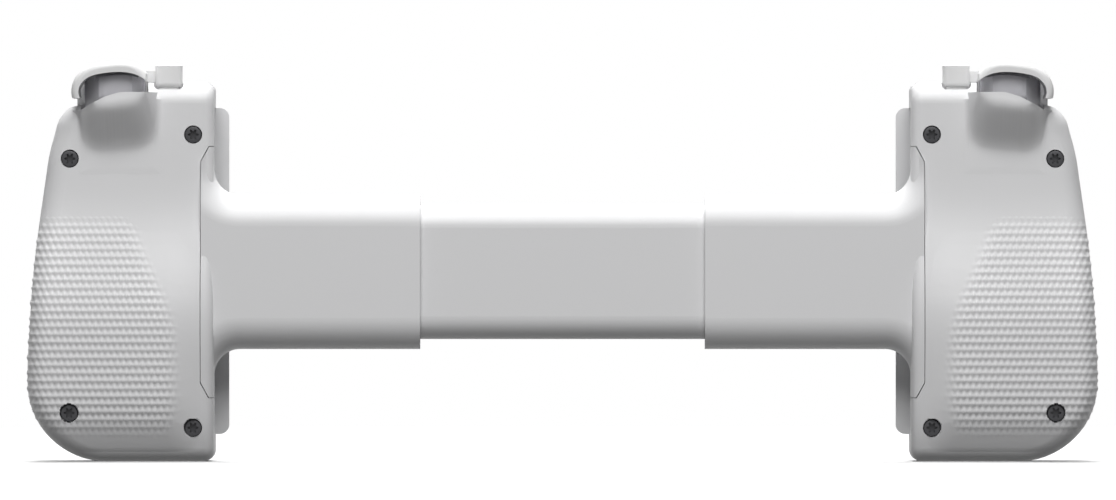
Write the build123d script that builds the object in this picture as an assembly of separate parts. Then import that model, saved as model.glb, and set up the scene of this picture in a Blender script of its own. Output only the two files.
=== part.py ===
from build123d import *
import math
import os

# A telescoping game controller for a phone, stood upright with its bridge drawn out.
# X runs along the bridge, Y from the back (negative) to the face, Z up.
# The origin is on the resting line, midway between the grips.
# Pieces are modelled for the player's left grip (+X) and mirrored for the right one.

# Overall sizes
half_width = 123.2
grip_inner_x = 80.3
grip_top_z = 87.3
face_y = 9.0
parting_y = -1.5
bridge_z = 43.65

# Clearances
seam = 0.15
running_gap = 0.3
pin_gap = 0.05
overrun = 5.0

# Grip walls
wall = 2.2
face_wall = 2.0
edge_round = 4.8
inner_round = 2.2
face_round = 2.6
foot_corner = 18.0

# Where the grip's outline turns, seen from behind
top_turn_x = 99.0
shoulder_x = 115.6
shoulder_z = 80.9
brow_x = 118.4
brow_z = 70.5
waist_x = 121.7
waist_z = 47.0
heel_z = 22.0

# Depth of the grip's back at each height: flat above, a palm swell below
flat_depth = 9.0
swell_depth = 13.4
foot_depth = 9.5
swell_foot_z = 6.0
swell_low_z = 18.0
swell_low_depth = 11.8
crest_z = 32.0
flank_z = 44.0
flank_depth = 12.2
valley_z = 57.0
valley_depth = 9.6
flat_z = 68.0

# Hood behind the trigger, and the shelf that ends it
hood_depth = 16.85
hood_middle_depth = 12.2
hood_skirt_depth = 9.3
hood_base_depth = 7.5
hood_inner_x = 93.6
hood_outer_x = 113.2
hood_foot_z = 66.5
hood_skirt_z = 71.6
hood_waist_z = 75.6
hood_crest_z = 80.9
hood_spread = 1.0
hood_waist_inset = 0.8
hood_crest_inset = 2.3
hood_lean = 3.2
hood_rise = 1.4
hood_corner = 4.4
hood_inner_corner = 4.6
hood_round = 1.6
hood_turn_x = 103.0
hood_end_x = 110.9
hood_end_z = 80.9
shelf_step_x = 95.3
shelf_z = 85.0
shelf_turn_x = 101.5
grip_low_corner = 2.5
grip_high_corner = 1.8

# Trigger: a lipped cap on a core that sinks into a well behind the hood
trigger_inner_x = 95.7
trigger_outer_x = 112.6
trigger_top_z = 92.2
trigger_arm_z = 83.6
cap_back_shares = [(1, 0), (1, 0.36), (0.93, 0.63), (0.74, 0.885), (0.5, 0.98), (0.2, 0.97), (0, 0.66)]
cap_lip_shares = [(0.89, 0), (0.9, 0.3), (0.8, 0.53), (0.59, 0.66), (0.36, 0.7), (0.19, 0.66), (0, 0.48)]
lip_rear_y = -15.9
lip_round = 1.5
core_rear_y = -12.9
reveal = 0.7
reveal_depth = 1.9
core_gap = 0.9
trigger_front_y = -2.6
core_outer_x = 110.9
core_foot_z = 77.6
pivot_y = -4.2
pivot_z = 79.5
pivot_boss = 1.7
pivot_pin_r = 0.9
trigger_spring_width = 2.4
trigger_spring_x = 103.0
spring_wire = 0.5
leg_bite_share = 0.75
well_outer_x = 111.0
well_rear_y = -15.0
well_knee_z = 81.6
well_knee_y = -14.2
well_low_z = 78.3
well_low_y = -10.8
well_foot_z = 75.8
well_foot_y = -6.9
well_front_y = -2.2
well_wall = 1.4
well_side_y = -10.2
well_outer_y = -7.4
well_bend = 3.6
well_outer_bend = 4.2
well_corner = 2.0

# Bumper over the front shell's top
bumper_inner_x = 93.6
bumper_outer_x = 112.0
bumper_top_z = 90.0
bumper_step_x = 95.9
bumper_bow_x = 105.0
bumper_low_z = 86.4
bumper_rear_y = -1.1
bumper_front_y = 6.7
bumper_skirt = 2.6
bumper_travel = 1.0
bumper_round = 1.2
bumper_bow = 9.0

# Small button on top, in a notch of the rear shell
top_button_inner_x = 87.6
top_button_outer_x = 93.8
top_button_z = 91.6
top_button_rear_y = -6.9
top_button_front_y = -2.1
top_button_bevel = 0.9
top_button_corner = 1.0
top_notch_z = 85.7
top_notch_corner = 1.1
top_button_travel = 0.4
top_button_flange = 1.0
top_button_inset = 0.9

# Phone channel: lip in front, rubber pad at the end
lip_reach_x = 77.2
lip_thickness = 1.8
lip_low_z = 6.1
lip_high_z = 81.6
lip_corner = 2.2
phone_back_y = -1.2
pad_face_x = 80.6
pad_thickness = 1.2
pad_margin = 1.9
pad_rib = 0.5
pad_rib_pitch = 6.0

# Sleeve of each arm and the centre piece that runs in it
arm_height = 35.5
arm_end_x = 32.8
arm_rear_y = -11.5
arm_base_chamfer = 0.4
arm_round = 7.2
arm_flare = 6.0
flange_x = 83.2
flange_half_z = 28.85
flange_chamfer = 3.5
flange_taper = 1.9
sleeve_end_x = 79.4
tongue_x = 89.0
tongue_height = 26.0
tongue_rear_y = -6.4
tongue_front_y = -1.9
centre_half = 46.0
centre_height = 30.9
centre_rear_y = -9.6
centre_front_y = -3.1
centre_round = 5.3
centre_wall = 1.3
centre_base_thickness = 1.1
centre_slide_in = 32.8
centre_slide_out = 5.0

# Racks and pinion that keep both grips in step
gear_module = 0.7
pinion_teeth = 14
pressure_angle = 20.0
tooth_backlash = 0.12
addendum_share = 0.8
dedendum_share = 1.1
rack_past_centre = 8.0
rack_end_x = 82.8
rack_back = 2.6
rack_gap = 0.35
axle_r = 1.5
axle_head_r = 2.6
axle_head = 0.9

# Pull springs and the folding flex cable
pull_spring_r = 1.5
pull_spring_z = 32.4
pull_spring_start_x = 17.0
pull_spring_end_x = 78.9
spring_post_r = 1.0
flex_z = 54.5
flex_width = 2.8
flex_thickness = 0.3
flex_fold_x = 20.0
flex_rear_y = -7.4
flex_front_y = -5.0
flex_end_x = 86.0

# Rear screws
screw_inner_x = 85.0
screw_outer_x = 113.4
screw_top_z = 75.3
screw_top_outer_z = 69.75
screw_low_z = 7.85
screw_low_outer_z = 11.3
screw_head_r = 1.95
screw_head = 1.6
screw_shank_r = 0.9
screw_sink = 0.35
screw_length = 10.5
screw_socket_r = 0.95
screw_socket = 0.8
screw_rim = 0.35
boss_r = 2.6
face_boss_r = 2.3

# Circuit board behind the face
board_rear_y = 0.4
board_thickness = 1.2
board_margin = 0.6

# Thumbstick
stick_pivot_y = 3.7
stick_top_y = 16.85
stick_cap_r = 7.2
stick_cap_rim = 2.4
stick_dish = 0.7
stick_dish_r = 5.0
stick_stem_r = 3.3
stick_dome_r = 8.7
stick_dome_wall = 0.9
stick_dome_angle = 72.0
stick_hole_r = 8.35
stick_housing = 9.2
stick_housing_wall = 0.8
stick_housing_y = 5.5
stick_post_r = 1.3
stick_post_y = 12.6
stick_yoke_length = 6.8
stick_yoke_width = 5.2
stick_yoke_y = 1.5
stick_trunnion_r = 0.6
stick_core = 2.6
stick_well_r = 10.2
stick_well = 0.6
left_stick_x = 101.0
left_stick_z = 65.0
right_stick_x = 99.0
right_stick_z = 35.0

# D-pad
dpad_x = 99.5
dpad_z = 35.0
dpad_reach = 10.6
dpad_width = 7.4
dpad_top_y = 10.8
dpad_gap = 0.8
dpad_disc_r = 9.4
dpad_disc_y = 5.8
dpad_disc = 1.0
dpad_stem_r = 2.2
dpad_stem_y = 4.0
dpad_corner = 1.3
dpad_round = 0.7
dpad_hollow_r = 3.0
dpad_hollow = 0.5
pivot_plate_r = 3.0
pivot_plate_y = 2.7
pivot_plate = 0.8

# Face buttons and small buttons
face_buttons_x = 98.8
face_buttons_z = 65.0
face_button_r = 4.2
face_button_ring = 8.4
face_button_top_y = 10.5
small_button_high_x = 89.5
small_button_high_z = 80.2
small_button_low_x = 88.0
small_button_low_z = 16.5
small_button_r = 2.4
small_button_top_y = 9.6
button_gap = 0.2
button_flange = 1.0
button_flange_y = 6.6
button_stem_y = 4.4
button_stem_share = 0.45
button_round = 0.7
mat_thickness = 0.5
mat_dome_r = 2.6

# Plug, charge port and status lens in the right grip
plug_width = 8.25
plug_thickness = 2.4
plug_reach = 6.5
plug_wall = 0.35
plug_hollow = 5.4
plug_y = 2.7
plug_base_width = 12.0
plug_base_thickness = 5.0
plug_base_x = 86.5
port_x = 100.0
port_y = 3.5
port_width = 8.94
port_thickness = 3.2
port_wall = 0.3
port_length = 7.4
port_tongue = 0.7
port_inset = 0.5
lens_z = 24.0
lens_r = 1.0
lens_length = 2.4

gap_share = 0.5
pitch_r = gear_module * pinion_teeth / 2


def block(x0, x1, y0, y1, z0, z1):
    """A block between three pairs of faces."""
    return Pos((x0 + x1) / 2, (y0 + y1) / 2, (z0 + z1) / 2) * Box(x1 - x0, y1 - y0, z1 - z0)


def rod_y(x, z, y0, y1, radius):
    """A round rod along the depth."""
    return Pos(x, (y0 + y1) / 2, z) * Rot(X=90) * Cylinder(radius, y1 - y0)


def rod_x(y, z, x0, x1, radius):
    """A round rod along the bridge."""
    return Pos((x0 + x1) / 2, y, z) * Rot(Y=90) * Cylinder(radius, x1 - x0)


def profile(points, radii):
    """A closed outline with a radius at each corner."""
    return make_face(FilletPolyline(*points, radius=radii, close=True))


def slab(outline, y_rear, y_front):
    """An outline seen from behind, made solid between two depths."""
    return extrude(Plane.XZ.offset(-y_front) * outline, y_front - y_rear)


def bar_x(section, x0, x1):
    """A section in depth and height, run along the bridge."""
    return extrude(Plane.YZ.offset(x0) * section, x1 - x0)


def near(value, target):
    """True where two lengths are the same."""
    return abs(value - target) < seam * gap_share


# Grip shells

def grip_outline():
    """The grip from behind, before the trigger's shelf is cut."""
    points = [
        (grip_inner_x, 0), (grip_inner_x, grip_top_z), (top_turn_x, grip_top_z),
        (shoulder_x, shoulder_z), (brow_x, brow_z), (waist_x, waist_z),
        (half_width, heel_z), (half_width, 0),
    ]
    soft_turn = foot_corner * 4
    radii = [0, 0, foot_corner, edge_round * 1.5, soft_turn / 2, soft_turn * 4, soft_turn, foot_corner]
    return profile(points, radii)


def grip_inside():
    """The hollow of a grip, one wall inside its outline."""
    return offset(grip_outline(), -wall, kind=Kind.INTERSECTION)


def above_shelf(y_rear, y_front, lift=0):
    """What is cut away over the shelf that the trigger and bumper stand on."""
    points = [
        (shelf_step_x, shelf_z + lift), (shelf_turn_x, shelf_z + lift),
        (shoulder_x, shoulder_z + lift), (half_width + overrun, shoulder_z + lift),
        (half_width + overrun, grip_top_z + 2 * overrun), (shelf_step_x, grip_top_z + 2 * overrun),
    ]
    return slab(profile(points, [0, hood_corner, 0, 0, 0, 0]), y_rear, y_front)


def back_profile():
    """Depth against height of the grip's back, closed towards the front."""
    low, high = -overrun, grip_top_z + overrun
    spots = [
        (-foot_depth / 2, low), (-foot_depth, swell_foot_z), (-swell_low_depth, swell_low_z),
        (-swell_depth, crest_z), (-flank_depth, flank_z), (-valley_depth, valley_z),
        (-flat_depth, flat_z), (-flat_depth, (flat_z + high) / 2), (-flat_depth, high),
    ]
    back = Spline(spots, tangents=[(-gap_share, 1), (0, 1)])
    return make_face(back + Polyline(spots[-1], (face_y, high), (face_y, low), spots[0]))


def hood():
    """The swelling that shields the trigger from behind."""
    high = grip_top_z + overrun

    def section(depth, foot, inset):
        inner, outer = hood_inner_x + inset, hood_outer_x - inset
        corners = [(inner, foot + hood_rise), (outer - hood_lean, foot), (outer, high), (inner, high)]
        return Plane.XZ.offset(depth) * profile(corners, [hood_inner_corner, hood_corner, 0, 0])

    bump = loft([
        section(hood_base_depth, hood_foot_z, -hood_spread),
        section(hood_skirt_depth, hood_skirt_z, 0),
        section(hood_middle_depth, hood_waist_z, hood_waist_inset),
        section(hood_depth, hood_crest_z, hood_crest_inset),
    ])
    crest = bump.faces().sort_by(Axis.Y)[0]
    rim = [edge for edge in crest.edges() if edge.center().Z < grip_top_z + overrun / 2]
    arch = [
        (hood_inner_x - overrun, 0), (hood_inner_x - overrun, shelf_z), (hood_turn_x, shelf_z),
        (hood_end_x, hood_end_z), (hood_end_x + overrun, hood_end_z), (hood_end_x + overrun, 0),
    ]
    below_shelf = slab(profile(arch, [0, 0, hood_corner, 0, 0, 0]), -hood_depth - overrun, parting_y - seam)
    return bump.fillet(hood_round, rim) & below_shelf


def inner_corners():
    """A grip's inner edge with its corners rounded, to trim both mouldings."""
    far = half_width + overrun
    points = [(grip_inner_x, 0), (grip_inner_x, grip_top_z), (far, grip_top_z), (far, 0)]
    return slab(profile(points, [grip_low_corner, grip_high_corner, 0, 0]), -hood_depth, face_y)


def grip_back():
    """The moulded back half of a grip as one closed form, with the shelf cut."""
    run = bar_x(back_profile(), grip_inner_x - overrun, half_width + overrun)
    body = slab(grip_outline(), -hood_depth - overrun, parting_y - seam) & run
    crown = max(
        (face for face in body.faces() if abs(face.normal_at(face.center()).Y) > gap_share
         and face.center().Y < -swell_low_depth / 2),
        key=lambda face: face.area,
    )
    rim = [edge for edge in crown.edges() if edge.center().X > grip_inner_x + seam]
    body = body.fillet(edge_round, rim)
    side = max(
        (face for face in body.faces() if near(face.center().X, grip_inner_x)),
        key=lambda face: face.area,
    )
    edges = [edge for edge in side.edges() if edge.center().Y < parting_y - 2 * seam]
    body = body.fillet(inner_round, edges) & inner_corners()
    return (body + hood()) - above_shelf(-hood_depth - overrun, parting_y + overrun)


def trigger_plan(shrink):
    """The trigger's well from above, drawn in by a gap."""
    points = [
        (shelf_step_x + shrink, well_front_y - shrink),
        (shelf_step_x + shrink, well_side_y + shrink),
        (shelf_step_x + well_bend + shrink, well_rear_y + shrink),
        (well_outer_x - well_outer_bend - shrink, well_rear_y + shrink),
        (well_outer_x - shrink, well_outer_y + shrink),
        (well_outer_x - shrink, well_front_y - shrink),
    ]
    bend = well_corner
    return profile(points, [0, bend, bend, bend, bend, 0])


def trigger_well(grow):
    """The well that the trigger sinks into; grown, it is the well's housing."""
    points = [
        (well_rear_y - grow, shelf_z + overrun), (well_rear_y - grow, shelf_z - grow),
        (well_knee_y - grow, well_knee_z - grow), (well_low_y - grow, well_low_z - grow),
        (well_foot_y - grow, well_foot_z - grow), (well_front_y + grow, well_foot_z - grow),
        (well_front_y + grow, shelf_z + overrun),
    ]
    side = bar_x(profile(points, [0] * 7), shelf_step_x - overrun, well_outer_x + overrun)
    plan = extrude(Plane.XY * trigger_plan(-grow), shelf_z + 2 * overrun)
    return side & plan


def flange_region(grow):
    """The part of the grip's inner edge that belongs to the arm."""
    half = flange_half_z + grow
    outer = flange_x + grow
    low, high = bridge_z - half, bridge_z + half
    chamfered = outer - flange_taper
    points = [
        (grip_inner_x - overrun, low), (chamfered, low), (outer, low + flange_chamfer),
        (outer, high - flange_chamfer), (chamfered, high), (grip_inner_x - overrun, high),
    ]
    return slab(profile(points, [0] * 6), -hood_depth - overrun, parting_y + overrun)


def screw_places():
    """Where the four rear screws stand, seen from behind."""
    return [
        (screw_inner_x, screw_top_z), (screw_outer_x, screw_top_outer_z),
        (screw_inner_x, screw_low_z), (screw_outer_x, screw_low_outer_z),
    ]


def depth_at(body, x, z):
    """How far back a body's surface lies at a place."""
    hits = body.find_intersection_points(Axis((x, -hood_depth - 2 * overrun, z), (0, 1, 0)))
    return min(point.Y for point, _ in hits)


def tongue_window(grow):
    """The opening in the grip's inner wall for the arm's tongue."""
    half = tongue_height / 2 + grow
    return block(
        flange_x - seam, tongue_x + grow, tongue_rear_y - grow, tongue_front_y + grow,
        bridge_z - half, bridge_z + half,
    )


def top_button_notch():
    """The rounded notch and the slot for the small top button."""
    low, side = top_notch_z, running_gap
    inner, outer = top_button_inner_x - side, top_button_outer_x + side
    notch = block(inner, outer, -hood_depth - overrun, parting_y + overrun, low, grip_top_z + overrun)
    feet = [edge for edge in notch.edges().filter_by(Axis.Y) if near(edge.center().Z, low)]
    notch = notch.fillet(top_notch_corner, feet)
    slot = block(
        inner + top_button_inset, outer - top_button_inset,
        top_button_rear_y + top_button_inset - side, top_button_front_y - top_button_inset + side,
        grip_top_z - wall - overrun, top_notch_z + top_notch_corner,
    )
    return notch + slot


def rear_shell(back):
    """Rear moulding of a grip: hollow, with screw columns and the trigger well."""
    hollow = slab(grip_inside(), -(flat_depth - wall), parting_y + overrun)
    hollow -= above_shelf(-hood_depth, parting_y + overrun, -wall)
    palm = slab(
        profile(
            [(grip_inner_x + 2 * wall, swell_low_z), (waist_x - 2 * wall, swell_low_z),
             (waist_x - 2 * wall, flank_z), (grip_inner_x + 2 * wall, flank_z)],
            [wall] * 4,
        ),
        -(swell_low_depth - wall), -(flat_depth - wall) + seam,
    )
    shell = back - hollow - palm
    shell += (trigger_well(well_wall) & back)
    for x, z in screw_places():
        shell += rod_y(x, z, -flat_depth, parting_y - seam, boss_r) & back
    shell -= trigger_well(0)
    shell -= flange_region(seam)
    shell -= tongue_window(seam)
    shell -= top_button_notch()
    shell -= rod_x(pivot_y, pivot_z, shelf_step_x - well_wall, well_outer_x + well_wall, pivot_pin_r + pin_gap)
    for x, z in screw_places():
        top = depth_at(back, x, z)
        seat = top + screw_sink + screw_head
        shell -= rod_y(x, z, top - overrun, seat, screw_head_r + seam)
        shell -= rod_y(x, z, seat - seam, parting_y + overrun, screw_shank_r + pin_gap)
    return shell


def grip_front_outline():
    """The face's outline, with the phone lip beyond the grip's inner edge."""
    return profile(
        [(lip_reach_x, lip_low_z), (top_turn_x, lip_low_z), (top_turn_x, lip_high_z), (lip_reach_x, lip_high_z)],
        [lip_corner, 0, 0, lip_corner],
    )


def front_form():
    """The closed form of a front moulding, rounded at its face."""
    body = slab(grip_outline(), parting_y, face_y)
    body -= above_shelf(parting_y - overrun, face_y + overrun)
    rim = [
        edge for edge in body.faces().sort_by(Axis.Y)[-1].edges()
        if edge.center().X > grip_inner_x + seam
    ]
    body = body.fillet(face_round, rim) & inner_corners()
    lip = slab(grip_front_outline(), face_y - lip_thickness, face_y)
    end = [
        edge for edge in lip.edges()
        if near(edge.center().Y, face_y) and edge.center().X < grip_inner_x
    ]
    return body + lip.fillet(lip_thickness / 3, end)


def front_shell():
    """Front moulding of a grip, before the holes for its own controls."""
    hollow = slab(grip_inside(), parting_y - overrun, face_y - face_wall)
    hollow -= above_shelf(parting_y - overrun, face_y + overrun, -wall)
    shell = front_form() - hollow
    for x, z in screw_places():
        shell += rod_y(x, z, parting_y, face_y - face_wall / 2, face_boss_r)
    channel_floor = pad_face_x + pad_thickness
    shell += block(
        channel_floor, channel_floor + face_wall, parting_y, face_y - face_wall / 2, lip_low_z, lip_high_z
    )
    shell -= block(
        grip_inner_x - overrun, channel_floor, phone_back_y, face_y - lip_thickness, lip_low_z, lip_high_z
    )
    for x, z in screw_places():
        shell -= rod_y(x, z, parting_y - overrun, face_y - 2 * face_wall, screw_shank_r + pin_gap)
    window = slab(
        profile(
            [(bumper_step_x - running_gap, shelf_z - overrun), (bumper_outer_x + running_gap, shelf_z - 2 * overrun),
             (bumper_outer_x + running_gap, grip_top_z), (bumper_step_x - running_gap, grip_top_z)],
            [0] * 4,
        ),
        bumper_rear_y - running_gap, bumper_front_y + running_gap,
    )
    ledge = block(
        bumper_inner_x - running_gap, bumper_step_x, bumper_rear_y - running_gap,
        bumper_front_y + running_gap, grip_top_z - bumper_travel - seam, grip_top_z + overrun,
    )
    return shell - window - ledge


# Trigger, bumper and top button

def trigger_side(y_rear):
    """The trigger from the side, down to its pivot boss."""
    boss = pivot_boss
    points = [
        (y_rear, trigger_top_z + overrun), (y_rear, trigger_arm_z), (pivot_y - boss, core_foot_z),
        (trigger_front_y, core_foot_z), (trigger_front_y, trigger_top_z + overrun),
    ]
    return bar_x(profile(points, [0, boss, boss, boss / 2, 0]), grip_inner_x, half_width)


def crescent_points(shares):
    """Shares of the trigger's width and height as places seen from behind."""
    width, height = trigger_outer_x - trigger_inner_x, trigger_top_z - trigger_arm_z
    return [(trigger_inner_x + width * x, trigger_arm_z + height * z) for x, z in shares]


def cap_outline():
    """The crescent of the trigger's cap, seen from behind."""
    outer, lip = crescent_points(cap_back_shares), crescent_points(cap_lip_shares)
    back, under = Spline(outer), Spline(lip)
    return make_face(back + Line(outer[-1], lip[-1]) + under + Line(lip[0], outer[0]))


def trigger_cap():
    """The part that the finger presses, with its overhanging lip."""
    rear = slab(cap_outline(), lip_rear_y, trigger_front_y)
    edges = [edge for edge in rear.faces().sort_by(Axis.Y)[0].edges()]
    return rear.fillet(lip_round, [max(edges, key=lambda edge: edge.length)])


def trigger_core(cap):
    """The core under the cap, with the pivot boss and the reveal groove."""
    lip = crescent_points(cap_lip_shares)
    low, arm_low = core_foot_z - overrun, trigger_arm_z - seam
    sides = Polyline(
        lip[0], (lip[0][0], arm_low), (core_outer_x, arm_low), (core_outer_x, low), (lip[-1][0], low), lip[-1]
    )
    outline = make_face(Spline(lip) + sides)
    core = slab(outline, core_rear_y, trigger_front_y) & trigger_side(core_rear_y)
    core &= extrude(Plane.XY * trigger_plan(core_gap), grip_top_z + 2 * overrun)
    core -= cap
    core -= slab(
        Pos(-reveal, -reveal) * cap_outline(), core_rear_y - overrun, core_rear_y + reveal_depth
    )
    half_gap = trigger_spring_width / 2 + running_gap
    core -= block(
        trigger_spring_x - half_gap, trigger_spring_x + half_gap, pivot_y - 2 * pivot_boss,
        trigger_front_y + overrun, core_foot_z - overrun, pivot_z + 2 * pivot_boss,
    )
    return core - rod_x(pivot_y, pivot_z, trigger_inner_x - overrun, trigger_outer_x, pivot_pin_r + pin_gap)


def trigger_pin():
    """Steel pin that the trigger turns on, held by the well's two walls."""
    return rod_x(
        pivot_y, pivot_z, shelf_step_x - well_wall + seam, well_outer_x + well_wall - seam, pivot_pin_r
    )


def trigger_spring():
    """Return spring: its turns as a sleeve on the pin, with one leg up and one forward."""
    half = trigger_spring_width / 2
    inner = pivot_pin_r + 2 * pin_gap
    turns = rod_x(pivot_y, pivot_z, trigger_spring_x - half, trigger_spring_x + half, inner + spring_wire)
    turns -= rod_x(pivot_y, pivot_z, trigger_spring_x - half, trigger_spring_x + half, inner)
    bite = spring_wire * leg_bite_share
    leg = Pos(trigger_spring_x - half + bite, pivot_y + inner + bite, pivot_z + pivot_boss) * Cylinder(
        spring_wire / 2, 2 * pivot_boss
    )
    foot = Pos(trigger_spring_x + half - bite, pivot_y - inner - bite, pivot_z - pivot_boss) * Cylinder(
        spring_wire / 2, 2 * pivot_boss
    )
    return turns + leg + foot


def bumper():
    """The shoulder key along the top of the front moulding."""
    skirt_z = shelf_z - bumper_skirt
    points = [
        (bumper_inner_x, grip_top_z + seam), (bumper_step_x, grip_top_z + seam), (bumper_step_x, skirt_z),
        (shelf_turn_x, skirt_z), (bumper_outer_x, shoulder_z - bumper_skirt / 2),
        (bumper_outer_x, bumper_low_z), (bumper_bow_x, bumper_top_z), (bumper_inner_x, bumper_top_z),
    ]
    radii = [0, 0, 0, bumper_round, 0, bumper_round, bumper_bow, bumper_round / 2]
    key = slab(profile(points, radii), bumper_rear_y, bumper_front_y)
    front = [
        edge for edge in key.faces().sort_by(Axis.Y)[-1].edges()
        if edge.center().Z > bumper_low_z and edge.center().X > bumper_inner_x + seam
    ]
    return key.fillet(bumper_round, front)


def top_button():
    """The small extra button in the notch, with its retaining flange."""
    corner = top_button_corner
    head_low = top_notch_z + top_button_travel + seam
    head = block(
        top_button_inner_x, top_button_outer_x, top_button_rear_y, top_button_front_y, head_low, top_button_z
    )
    feet = [edge for edge in head.edges().filter_by(Axis.Y) if near(edge.center().Z, head_low)]
    head = head.fillet(top_notch_corner - running_gap, feet)
    head = head.fillet(corner, head.edges().filter_by(Axis.Z))
    head = head.chamfer(top_button_bevel / 2, top_button_bevel, head.faces().sort_by(Axis.Z)[-1].edges())
    inset = top_button_inset
    flange_top = grip_top_z - wall - running_gap
    stem = block(
        top_button_inner_x + inset, top_button_outer_x - inset, top_button_rear_y + inset,
        top_button_front_y - inset, flange_top - top_button_flange, head_low,
    )
    flange = block(
        top_button_inner_x, top_button_outer_x, top_button_rear_y + inset, top_button_front_y - inset / 2,
        flange_top - top_button_flange, flange_top,
    )
    return head + stem + flange


# Arm, centre piece and what runs in them

def arm_elevation():
    """The arm from behind, flaring into its root with a round on each side."""
    half = arm_height / 2
    wide = half + 2 * arm_flare
    root = grip_inner_x + 2 * arm_round
    points = [
        (arm_end_x, bridge_z - half), (grip_inner_x, bridge_z - half), (grip_inner_x, bridge_z - wide),
        (root, bridge_z - wide), (root, bridge_z + wide), (grip_inner_x, bridge_z + wide),
        (grip_inner_x, bridge_z + half), (arm_end_x, bridge_z + half),
    ]
    return profile(points, [0, arm_flare, 0, 0, 0, 0, arm_flare, 0])


def arm_form():
    """The arm's sleeve as a closed form, rounded along its back."""
    body = slab(arm_elevation(), arm_rear_y, parting_y)
    back = body.faces().sort_by(Axis.Y)[0]
    rim = [
        edge for edge in back.edges()
        if edge.center().X > arm_end_x + seam and edge.center().X < grip_inner_x + seam
    ]
    body = body.fillet(arm_round, rim)
    outside = block(0, grip_inner_x, arm_rear_y - overrun, parting_y + overrun, 0, grip_top_z)
    return (body & outside) + (body & flange_region(0))


def sleeve_hollow():
    """The channel that the centre piece slides in."""
    half = centre_height / 2 + running_gap
    rear, front = centre_rear_y - running_gap, centre_front_y + running_gap
    corner = centre_round
    points = [
        (rear, bridge_z - half), (front, bridge_z - half), (front, bridge_z + half), (rear, bridge_z + half),
    ]
    return bar_x(profile(points, [corner, 0, 0, corner]), arm_end_x - overrun, sleeve_end_x)


def arm_cover(back, rack_side):
    """Rear of the arm with its flange, which lies flush in the grip's back."""
    front = centre_front_y + running_gap
    cover = arm_form() - block(
        0, half_width, front, front + overrun, bridge_z - arm_height, bridge_z + arm_height
    )
    cover += flange_region(0) & back
    cover += tongue_window(-seam) & block(
        grip_inner_x, tongue_x, tongue_rear_y, tongue_front_y, 0, grip_top_z
    )
    cover -= sleeve_hollow()
    root_z = bridge_z + rack_side * (pitch_r + gear_module * dedendum_share)
    outer_z = root_z + rack_side * rack_back
    low, high = sorted((root_z - rack_side * pin_gap, outer_z + rack_side * pin_gap))
    cover -= block(
        sleeve_end_x - overrun, rack_end_x + pin_gap, rack_rear() - pin_gap, rack_front() + pin_gap, low, high
    )
    eye_x = pull_spring_end_x + spring_eye()
    pocket_r = eye_r() + running_gap
    cover -= rod_x(spring_axis_y(), pull_spring_z, sleeve_end_x - overrun, eye_x + pocket_r, pocket_r)
    cover += rod_y(eye_x, pull_spring_z, spring_axis_y() - pocket_r, spring_axis_y() + pocket_r, spring_post_r)
    cover -= block(
        sleeve_end_x - overrun, flex_end_x + overrun, flex_front_y - flex_thickness, flex_front_y + flex_thickness,
        flex_z - flex_width / 2 - seam, flex_z + flex_width / 2 + seam,
    )
    return cover


def arm_base():
    """Front plate of the arm, which the phone's back lies on."""
    front = centre_front_y + running_gap
    plate = slab(arm_elevation(), front + pin_gap, parting_y)
    plate &= block(0, grip_inner_x - pin_gap, -overrun, 0, 0, grip_top_z)
    edges = [
        edge for edge in plate.faces().sort_by(Axis.Y)[-1].edges()
        if edge.center().X < grip_inner_x - seam
    ]
    return plate.chamfer(arm_base_chamfer, None, edges)


def rack_rear():
    """Rear face of racks and pinion inside the centre piece."""
    return centre_rear_y + centre_wall + rack_gap


def rack_front():
    """Front face of racks and pinion inside the centre piece."""
    return centre_front_y - centre_base_thickness - rack_gap


def spring_eye():
    """From the end of a pull spring's turns to the middle of its eye."""
    return spring_post_r + pin_gap + spring_wire / 2


def eye_r():
    """Outer radius of a pull spring's eye."""
    return spring_post_r + pin_gap + spring_wire


def spring_axis_y():
    """The pull springs lie midway in the centre piece."""
    return (rack_rear() + rack_front()) / 2


def centre_section(inset):
    """The centre piece's section, drawn in by a wall."""
    half = centre_height / 2 - inset
    corner = centre_round - inset
    rear, front = centre_rear_y + inset, centre_front_y
    points = [
        (rear, bridge_z - half), (front, bridge_z - half), (front, bridge_z + half), (rear, bridge_z + half),
    ]
    return profile(points, [corner, 0, 0, corner])


def centre_cover():
    """Rear of the centre piece, an open channel with guide ribs and spring posts."""
    cover = bar_x(centre_section(0), -centre_half, centre_half)
    cover -= bar_x(centre_section(centre_wall), -centre_half - overrun, centre_half + overrun)
    split = centre_front_y - centre_base_thickness
    cover -= block(
        -centre_half - overrun, centre_half + overrun, split, split + overrun,
        bridge_z - centre_height, bridge_z + centre_height,
    )
    floor_y = centre_rear_y + centre_wall
    rack_outer = pitch_r + gear_module * dedendum_share + rack_back
    for side in (-1, 1):
        edge_z = bridge_z + side * (rack_outer + running_gap)
        low, high = sorted((edge_z, edge_z + side * centre_wall / 2))
        cover += block(-centre_half, centre_half, floor_y - seam, split - seam, low, high)
        cover += rod_y(
            side * (pull_spring_start_x - spring_eye()), pull_spring_z, floor_y - seam, split - rack_gap,
            spring_post_r,
        )
    cover += rod_y(0, bridge_z, floor_y - seam, rack_rear() - pin_gap, axle_head_r)
    return cover - rod_y(0, bridge_z, centre_rear_y + centre_wall / 2, 0, axle_r + pin_gap)


def centre_base():
    """Front plate of the centre piece."""
    plate = bar_x(centre_section(0), -centre_half, centre_half)
    rear = centre_front_y - centre_base_thickness + pin_gap
    plate &= block(-half_width, half_width, rear, 0, 0, grip_top_z)
    return plate - rod_y(0, bridge_z, rear - overrun, 0, axle_head_r + pin_gap)


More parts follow.
